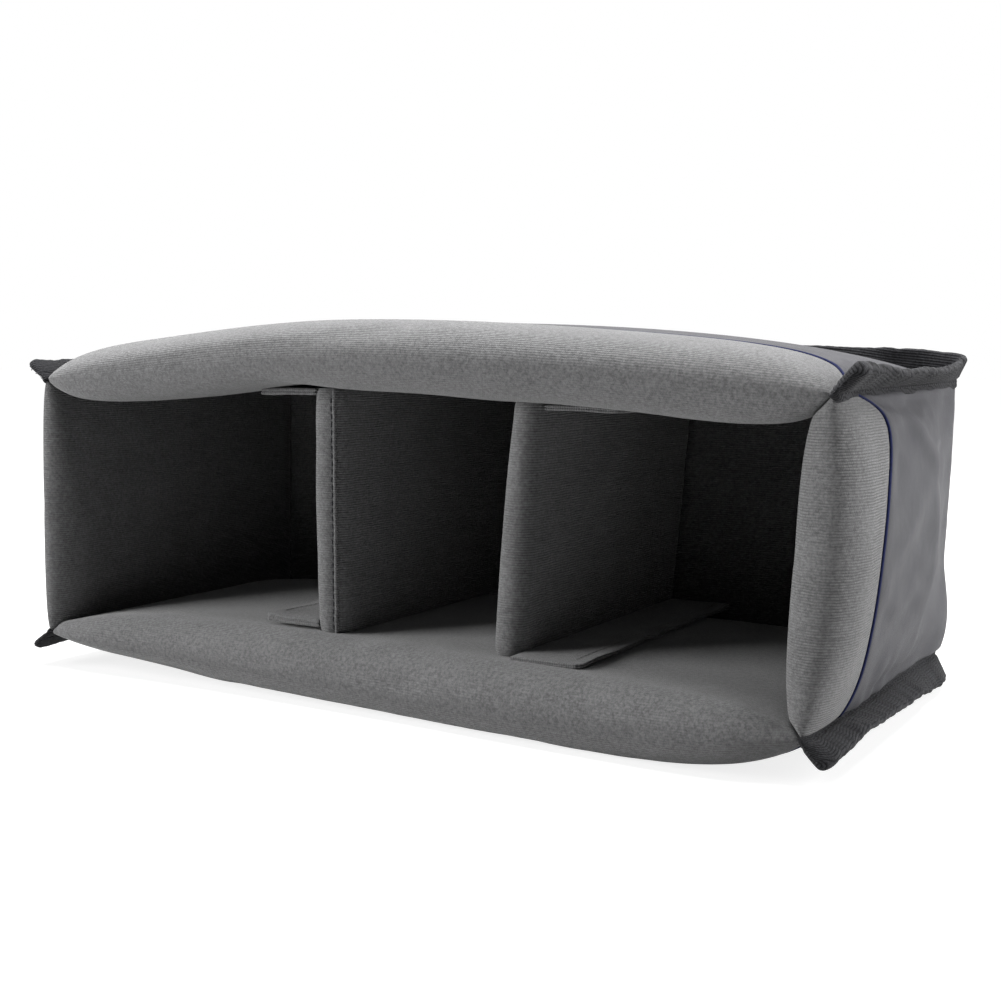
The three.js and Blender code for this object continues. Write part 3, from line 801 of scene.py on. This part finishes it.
def add_binding(name, side, profile, lips, narrow, seed):
    """At shares of its length, profile gives how steeply the tape stands out, in degrees, lips how far it
    lies on the shell beside the seam, and narrow how much of its width it has lost."""
    s, x, y, heading, total = tape_path(TAPE_SPACING)
    angle = np.radians(np.interp(s / total, *zip(*profile)))
    kernel = np.hanning(13)
    angle = np.convolve(np.pad(angle, 6, mode="edge"), kernel / kernel.sum(), "valid")
    run = s[:, None]
    angle = angle + np.radians(2.0 * ripple(run, 30, seed) + 0.8 * ripple(run, 9, seed + 1))
    end = np.minimum(s, total - s)
    pucker = np.sin(2 * math.pi * s / TAPE_PUCKER + 1.5 * ripple(run, 25, seed + 5))
    width = BINDING_WIDTH - 0.5 - np.interp(s / total, *zip(*narrow))
    width = width + 0.15 * ripple(run, 9, seed + 2) + 0.04 * pucker
    width = width - 3.5 * (1 - np.sqrt(1 - np.clip((6 - end) / 6, 0, 1) ** 2))

    # The centre line of the cross-section: out of the seam at 45 degrees, then at the tape's own angle
    root = 1.0
    shares = np.concatenate([np.linspace(0, 0.24, 9)[:-1], np.linspace(0.24, 0.86, 10)[:-1],
                             0.86 + 0.14 * np.sin(steps(8) * math.pi / 2)])
    reach = np.concatenate([np.tile([-root, -root / 2], (len(s), 1)), width[:, None] * shares], 1)
    curl = 0.2 * ripple(run, 40, seed + 4) - 0.05
    bend = ease(reach, -0.5, 3.0)
    own_angle = angle[:, None] + curl[:, None] * (reach / BINDING_WIDTH) ** 2
    heading_up = (1 - bend) * math.pi / 4 + bend * own_angle
    stretch = np.diff(reach, axis=1)
    mid = (heading_up[:, 1:] + heading_up[:, :-1]) / 2
    level = running(stretch * np.cos(mid), 1)
    rise = running(stretch * np.sin(mid), 1)
    level -= level[:, 2:3]
    rise -= rise[:, 2:3]

    # Half its thickness: a bulky front end, a stitched groove, the fold and puckers
    bulk = (1.1 * np.exp(-(end / 12) ** 2) * (s > total / 2))[:, None]
    closed = np.sqrt(1 - np.clip(1 - end / 4, 0, 1) ** 2)[:, None]
    half = 1.15 + 0.25 * ease(reach, 3.5, 9) + bulk * ease(reach, -1, 3)
    half = half - 0.6 * np.exp(-((reach - STITCH_REACH) / 0.6) ** 2)
    half = half + 0.06 * pucker[:, None] * ease(reach, 3.5, 6)
    fold = 1.5
    to_fold = np.clip((reach - (width[:, None] - fold)) / fold, 0, 1)
    half = half * closed * np.sqrt(np.maximum(0, 1 - to_fold ** 2)) + 0.02
    lip = np.interp(s / total, *zip(*lips))[:, None]
    outside = half + closed * lip * (1 - ease(reach, 0.2, 1.5))
    turned_end = 24 + 14 * np.clip(1 - ((reach - 6) / 6.5) ** 2, -1, 1)
    patch = (1 - ease(end[:, None] - turned_end, -1.2, 1.2)) * ease(reach, 1, 3)
    outside = outside + 0.6 * closed * patch * (1 - to_fold)

    def face(sign, half):
        out = BINDING_CORNER + (level - sign * half * np.sin(heading_up))
        up = rise + sign * half * np.cos(heading_up)
        plan = [(at + out.T * turn(heading)).T for at, turn in ((x, np.cos), (y, np.sin))]
        return lean(np.stack([*plan, MIDDLE_HEIGHT + side * (HEIGHT / 2 + up)], -1))

    def both_faces(upper, lower):
        return np.concatenate([upper, lower[:, ::-1][:, 1:]], 1)

    upper, lower = face(1, half), face(-1, outside)
    inner_half = np.minimum(0.02, half / 2)
    across = both_faces(reach, 2 * width[:, None] - reach)
    weave = np.stack([s[:, None] + 0 * across, across + TAPE_SLANT * run], -1)
    hidden = both_faces(face(1, inner_half), face(-1, inner_half))
    add_sheet(name, both_faces(upper, lower), hidden, weave, TAPE, BOX, "folded", level=0,
              replaces=[name.replace("tape", "binding")], slot="binding_tape")
    add_tape_stitches(name, upper, lower, reach, s)
    add_frayed_ends(name, upper, lower, seed + 6)


def add_frayed_ends(name, upper, lower, seed):
    """Loose yarns at the tape's cut front ends."""
    rng = np.random.default_rng(seed)
    parts = []
    for row in (0, -1):
        for _ in range(YARNS):
            k = int(rng.integers(4, upper.shape[1] - 3))
            share = rng.uniform(0.1, 0.9)
            first = upper[row, k] * share + lower[row, k] * (1 - share)
            aim = np.array([0.35 * rng.normal(), -1.0, 0.35 * rng.normal()])
            middle = first + aim * rng.uniform(0.2, 0.6)
            last = middle + (aim + 0.7 * rng.normal(size=3)) * rng.uniform(0.2, 0.5)
            parts += [(first - 0.5 * aim, middle), (middle, last)]
    add_stitches(f"{name}_frays", parts, 0.13, TAPE_YARN, BOX)


def add_tape_stitches(name, upper, lower, reach, s):
    """Lockstitch along the tape on both of its faces."""
    pitch, long = 3.2, 2.3
    column = int(np.argmin(np.abs(reach[len(s) // 2] - STITCH_REACH)))
    starts = np.arange(1.0, s[-1] - pitch, pitch)
    parts = [pair for grid in (upper, lower) for pair in dashes(grid[:, column], s, starts, long)]
    add_stitches(f"{name}_stitches", parts, 0.28, THREAD, BOX)


def dashes(path, at, starts, long):
    """The ends of stitches along a path whose points lie at the places at."""
    first, last = (np.stack([np.interp(places, at, path[:, k]) for k in range(3)], -1)
                   for places in (starts, starts + long))
    return list(zip(first, last))


def add_stitches(name, parts, radius, material, body):
    """Short stitches between pairs of points, each a rounded dash, joined in one piece."""
    sides, rings = 6, ((0.0, 0.45), (0.2, 1.0), (0.8, 1.0), (1.0, 0.45))
    angles = around(sides)
    points, faces = [], []
    for first, last in parts:
        axis = last - first
        length = np.linalg.norm(axis)
        if length < radius:
            continue
        axis = axis / length
        flat = unit(np.cross(axis, (0.31, 0.52, 0.79)))
        up = np.cross(axis, flat)
        start = len(points) * sides
        for place, size in rings:
            centre = first + axis * length * place
            ring = np.outer(np.cos(angles), flat) + np.outer(np.sin(angles), up)
            points.append(centre + radius * size * ring)
        faces += grid_faces(len(rings), sides, start, closed=True)
        faces.append(list(range(start, start + sides)))
        faces.append(list(range(start + 3 * sides, start + 4 * sides)))
    add_mesh(name, np.concatenate(points), faces, material, body)


TOP_PROFILE = [
    (0, 34), (0.04, 38), (0.12, 30), (0.2, 34), (0.245, 60), (0.27, 76), (0.4, 80), (0.5, 74), (0.62, 80),
    (0.74, 82), (0.757, 72), (0.772, 60), (0.787, 50), (0.802, 42), (0.818, 36), (0.848, 31), (0.894, 33),
    (0.924, 31), (0.939, 33), (0.954, 38), (0.97, 44), (0.985, 50), (1, 47),
]
BOTTOM_PROFILE = [
    (0, 34), (0.1, 38), (0.2, 40), (0.245, 55), (0.27, 74), (0.5, 78), (0.72, 76), (0.757, 62),
    (0.772, 54), (0.802, 47), (0.833, 34), (0.863, 25), (0.894, 19), (0.924, 14), (0.954, 11), (0.97, 16),
    (0.985, 30), (1, 46),
]
TOP_LIPS = [
    (0, 1), (0.08, 2), (0.24, 1), (0.26, 2), (0.74, 2), (0.765, 0.2), (0.79, 1), (0.82, 2), (0.93, 1.6),
    (0.95, 0.6), (0.97, 1.8), (1, 2),
]
BOTTOM_LIPS = [(0, 0.5), (0.1, 2), (0.74, 2), (0.765, 0.9), (0.8, 2), (0.88, 1.8), (0.93, 0.4), (1, 0.4)]
TOP_NARROW = [
    (0, 0), (0.23, 0), (0.245, 2.5), (0.27, 0), (0.35, -2), (0.66, -3), (0.7, -2.4), (0.74, -1.2), (0.752, 0),
    (0.76, 2.8), (0.78, 2.4), (0.81, 0.3), (1, 0),
]
BOTTOM_NARROW = [
    (0, 0), (0.23, 0), (0.245, 1.5), (0.27, 0), (0.735, -0.8), (0.757, -1), (0.78, -1.2), (0.81, -0.4),
    (0.84, 0), (1, 0),
]
add_binding("tape_top", 1, TOP_PROFILE, TOP_LIPS, TOP_NARROW, 21)
add_binding("tape_bottom", -1, BOTTOM_PROFILE, BOTTOM_LIPS, BOTTOM_NARROW, 37)


# Dividers

def add_divider(name, side, seam_angle, foot_shift, head_shift):
    """A divider between its two strips. foot and head are the middle of its thickness at each end."""
    low, high = corners(f"{name}_bottom_strip")
    bottom, foot, half_thick = low[2], (low[0] + high[0]) / 2 + foot_shift, (high[0] - low[0]) / 2
    low, high = corners(f"{name}_top_strip")
    top, head = high[2], (low[0] + high[0]) / 2 + head_shift
    slope = (head - foot) / (top - bottom)

    def middle(z):
        return foot + slope * (z - bottom)

    def outline(z, inset, start):
        """Plan outline at each height, from the slot in the back edge round the front and back to it."""
        share = 2 * (z - bottom + COVER_DROP) / (top + COVER_RISE - bottom + COVER_DROP) - 1
        half = half_thick + DIVIDER_SWELL * (1 - share ** 2)
        tuck = 1.0 * np.exp(-((1 - np.abs(share)) * (top - bottom) / 2 / 1.2) ** 2)
        half = (half - tuck - inset)[:, None]
        back_round = start + (math.pi / 2 - start) * steps(6)
        front_round = steps(12) * math.pi / 2
        length = steps(24)[1:-1]
        back_y = DIVIDER_BACK - half_thick + half * np.cos(back_round)
        front_y = DIVIDER_FRONT + half_thick - half * np.sin(front_round)
        flat_y = back_y[:, -1:] + (front_y[:, :1] - back_y[:, -1:]) * length
        x = np.concatenate([half * np.sin(back_round), half + 0 * flat_y, half * np.cos(front_round)], 1)
        y = np.concatenate([back_y, flat_y, front_y], 1)
        x = np.concatenate([x, -x[:, -2::-1]], 1)
        y = np.concatenate([y, y[:, -2::-1]], 1)
        return np.stack([middle(z)[:, None] + x, y, z[:, None] + 0 * x], -1)

    cover_bottom, cover_top = bottom - COVER_DROP, top + COVER_RISE
    z = cover_bottom + (cover_top - cover_bottom) * (0.5 - 0.5 * np.cos(steps(30) * math.pi) * 0.6
                                                    + (steps(30) - 0.5) * 0.4)
    slit = math.asin(SLIT_HALF / half_thick)
    outer, inner = outline(z, 0, slit), outline(z, FABRIC, slit)
    across = outer[..., 0] - middle(z)[:, None]
    soft = 0.22 * ripple(outer, 38, 51 + side) + 0.1 * ripple(outer, 14, 53)
    away = np.sign(across) * np.minimum(1, np.abs(across) / 3)
    outer[..., 0] += soft * away
    inner[..., 0] += soft * away
    run = running(np.linalg.norm(np.diff(outer[len(z) // 2], axis=0), axis=-1))
    places = np.stack([run + 0 * outer[..., 0], outer[..., 2]], -1)
    add_sheet(f"knit_{name}", outer, inner, places, KNIT, name, "stretched", [f"pad_{name}"],
              replaces=[f"{name}_cover"], slot="lining_knit")
    foam_z = np.linspace(cover_bottom + INSIDE, cover_top - INSIDE, 8)
    pad = add_loft(f"pad_{name}", outline(foam_z, INSIDE, 0.0)[:, :-1], FOAM, name,
                   replaces=[f"{name}_foam"], slot="pad_foam")
    for end, low in (("bottom", cover_bottom), ("top", cover_top - FABRIC)):
        strip_z = low + np.array([0, 0.25, FABRIC - 0.25, FABRIC])
        loops = outline(strip_z, np.array(FABRIC), 0.0)[:, :-1]
        rounded = np.array([0.3, 0.0, 0.0, 0.3])[:, None]
        loops[..., 0] -= np.sign(loops[..., 0] - middle(strip_z)[:, None]) * rounded
        weave = np.stack([loops[..., 1], loops[..., 0]], -1)
        add_loft(f"strip_{name}_{end}", loops, TAB, name, weave=weave, replaces=[f"{name}_{end}_strip"],
                 slot="tab_fabric")
    add_seam(name, outline, z, seam_angle)
    for end in ("bottom", "top"):
        add_tab(name, end, side)


def add_seam(name, outline, z, angle):
    """A cover's closing seam: a narrow welt down its front edge with stitches beside it."""
    outer = outline(z, 0, 0.3)
    column = outer.shape[1] // 2 - int(round(angle / 90 * 12))
    line = outer[:, column]
    out = unit(line - outline(z, 1.0, 0.3)[:, column])
    across = unit(np.cross(out, (0, 0, 1)))
    wave = 0.12 * ripple(z[:, None], 9, 71)
    centre = line + out * 0.12 + across * wave[:, None]
    loops = tube(centre, across, out, width=0.85, height=0.8)
    weave = np.stack([np.cos(around(10)) + 0 * loops[..., 0], loops[..., 2]], -1)
    add_loft(f"welt_{name}", loops, KNIT, name, weave=weave, slot="lining_knit", level=1)
    starts = np.arange(z[0] + 2, z[-1] - 4, 3.0)
    stitches = dashes(centre + across * 1.25 - out * 0.05, z, starts, 2.0)
    add_stitches(f"welt_{name}_stitches", stitches, 0.22, THREAD, name)


# For each tab: how far it lies above its solid, its two layers' thickness at root and tip, how far its front
# edge reaches forward, how much its tip curls away from the wall, and how much shorter than its solid it is
TABS = {
    "left_divider_bottom": (-0.8, 3.0, 3.2, 2.0, 0.4, 2.8),
    "left_divider_top": (5.0, 2.4, 2.7, 1.0, 0.0, 1.5),
    "right_divider_bottom": (-2.4, 1.8, 1.6, 8.0, 0.5, 2.0),
    "right_divider_top": (2.8, 1.8, 1.8, 0.0, 0.4, 0.0),
}


def add_tab(name, end, side):
    """A tab: two knit layers, sewn round their edge, with hook tape on the side that faces the wall."""
    node, hook_node = f"{name}_{end}_tab", f"{name}_{end}_hook"
    shift, root_thick, tip_thick, forward, curl, shorter = TABS[f"{name}_{end}"]
    low, high = corners(node)
    body = f"{name.split('_')[0]}_{end}_tab"
    up = 1 if end == "bottom" else -1
    root, tip = (high[0] + 1, low[0] + shorter) if side < 0 else (low[0] - 1, high[0] - shorter)
    away = np.sign(tip - root)
    seat = low[2] if up > 0 else high[2]
    front = low[1] - forward
    edge = steps(8) ** 2 * 0.02
    share_x, share_y = np.meshgrid(np.concatenate([np.linspace(0, 0.94, 16), 1 - edge[::-1][1:]]),
                                   np.concatenate([edge, np.linspace(0.03, 0.97, 59), 1 - edge[::-1]]))
    y = front + (high[1] - front) * share_y
    to_side = np.minimum(y - front, high[1] - y)
    short = TAB_CORNER * (1 - np.sqrt(1 - np.clip((TAB_CORNER - to_side) / TAB_CORNER, 0, 1) ** 2))
    x = root + (tip - root - away * short) * share_x
    to_edge = np.minimum(to_side, np.abs(tip - x) - short)
    thick = (root_thick + (tip_thick - root_thick) * share_x) / 2
    round_off = np.sqrt(1 - np.clip(1 - to_edge / TAB_EDGE, 0, 1) ** 2)
    flat = np.stack([x, y], -1)
    curled = curl * share_x ** 3 * (0.4 + ripple(y[..., None], 40, 81) ** 2)
    wall_face = seat + shift + up * (0.2 * ripple(flat, 22, 83) * share_x + curled)
    weave = np.stack([y, x], -1)
    half = 0.5 * thick * round_off + 0.03
    for number, label in enumerate(("flap", "back")):
        middle = wall_face + up * thick * (1.5 - number)
        top_face, low_face = (np.stack([x, y, middle + part], -1) for part in (half, -half))
        piece = add_sheet(f"{label}_{name}_{end}", top_face, low_face, weave, TAB, None, "laid",
                          [f"knit_{end}"], replaces=[node] if label == "flap" else (), slot="tab_fabric")
        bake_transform(piece)
        if label == "flap":
            open_face = top_face if up > 0 else low_face
    low, high = corners(hook_node)
    hook_x = np.linspace(low[0] + HOOK_MARGIN + shorter * (side < 0),
                         high[0] - HOOK_MARGIN - shorter * (side > 0), HOOK_COLUMNS)
    hook_y = np.linspace(low[1] + HOOK_END_MARGIN, high[1] - HOOK_END_MARGIN, HOOK_ROWS)
    to_end, to_side = (np.minimum(line - line[0], line[-1] - line) for line in (hook_y, hook_x))
    inner = (to_end > 1)[:, None] & (to_side > 1)
    hook_y, hook_x = np.meshgrid(hook_y, hook_x, indexing="ij")
    checks = np.indices(inner.shape).sum(0) % 2 * inner
    seat_of_hooks = seat + shift - up * 0.05
    hooks = np.stack([hook_x, hook_y, seat_of_hooks - up * (HOOK_SHEET + HOOK_RISE * checks)], -1)
    back = np.stack([hook_x, hook_y, seat_of_hooks + 0 * hook_x], -1)
    add_sheet(f"hooks_{name}_{end}", hooks, back, np.stack([hook_y, hook_x], -1), HOOKS, body, level=0,
              replaces=[hook_node], slot="hook_tape")
    path = open_face[10:-10, 13]
    starts = np.arange(path[0, 1] + 1, path[-1, 1] - 3, 3.0)
    stitches = dashes(path, path[:, 1], starts, 2.0)
    add_stitches(f"flap_{name}_{end}_stitches", stitches, 0.18, GREY_THREAD, body)


add_divider("left_divider", -1, 38, -1.5, -0.6)
add_divider("right_divider", 1, -105, 0.2, -1.5)


# Stage: floor, light and camera

def add_floor():
    size = 6.0
    mesh = bpy.data.meshes.new("floor")
    ends = [(-size, -size, 0), (size, -size, 0), (size, size, 0), (-size, size, 0)]
    mesh.from_pydata(ends, [], [(0, 1, 2, 3)])
    floor = add_object("floor", mesh)
    floor.location.z = -0.0002
    material, n = new_material("floor", (1, 1, 1), 1)
    n.tree.nodes.remove(n.shader)
    diffuse = n.new("BsdfDiffuse")
    diffuse.inputs["Color"].default_value = (0.4, 0.4, 0.4, 1)
    glow = n.new("Emission")
    away = n.new("VectorMath", operation="LENGTH")
    n.join(n.new("TexCoord").outputs["Object"], away.inputs[0])
    n.join(n.ramp(away.outputs["Value"], 0.25, 0.6, 0.8, 1.0), glow.inputs["Strength"])
    both = n.new("AddShader")
    n.join(diffuse.outputs[0], both.inputs[0])
    n.join(glow.outputs[0], both.inputs[1])
    n.by_ray(diffuse.outputs[0], both.outputs[0], n.tree.nodes["Material Output"].inputs["Surface"])
    mesh.materials.append(material)


def add_world():
    world = bpy.data.worlds.new("studio")
    bpy.context.scene.world = world
    world.use_nodes = True
    n = Nodes(world.node_tree)
    room = n.tree.nodes["Background"]
    room.inputs["Color"].default_value = (1, 1, 1, 1)
    room.inputs["Strength"].default_value = 0.03
    backdrop = n.new("Background")
    backdrop.inputs["Color"].default_value = (1, 1, 1, 1)
    backdrop.inputs["Strength"].default_value = 1.0
    n.by_ray(room.outputs[0], backdrop.outputs[0], n.tree.nodes["World Output"].inputs["Surface"])


def add_light(name, place, size, watts):
    data = bpy.data.lights.new(name, "AREA")
    data.shape = "RECTANGLE"
    data.size, data.size_y = size
    data.energy = watts
    light = add_object(name, data)
    light.location = place
    light.rotation_euler = (Vector(LIGHT_AIM) - Vector(place)).to_track_quat("-Z", "Y").to_euler()


def add_camera():
    yaw, pitch, roll = math.radians(30.45), math.radians(6.0), math.radians(0.22)
    pixels, frame_pixels = 1453, 1001
    data = bpy.data.cameras.new("camera")
    data.sensor_width = 36
    data.lens = pixels / frame_pixels * data.sensor_width
    data.clip_start = 0.01
    camera = add_object("camera", data)
    ahead = Vector((-math.sin(yaw) * math.cos(pitch), math.cos(yaw) * math.cos(pitch), -math.sin(pitch)))
    turn = ahead.to_track_quat("-Z", "Y").to_matrix().to_4x4() @ Matrix.Rotation(roll, 4, "Z")
    camera.matrix_world = Matrix.Translation(Vector((309.4, -511.3, 136.5)) * MM) @ turn
    bpy.context.scene.camera = camera


add_floor()
add_world()
add_light("top", (0.0, 0.1, 1.1), (1.3, 0.9), 27)
add_light("left", (-1.0, -0.9, 0.4), (0.7, 0.9), 19)
add_light("right", (1.15, 0.4, 0.45), (0.7, 0.9), 14)
add_camera()
bpy.context.scene.view_settings.view_transform = "Standard"
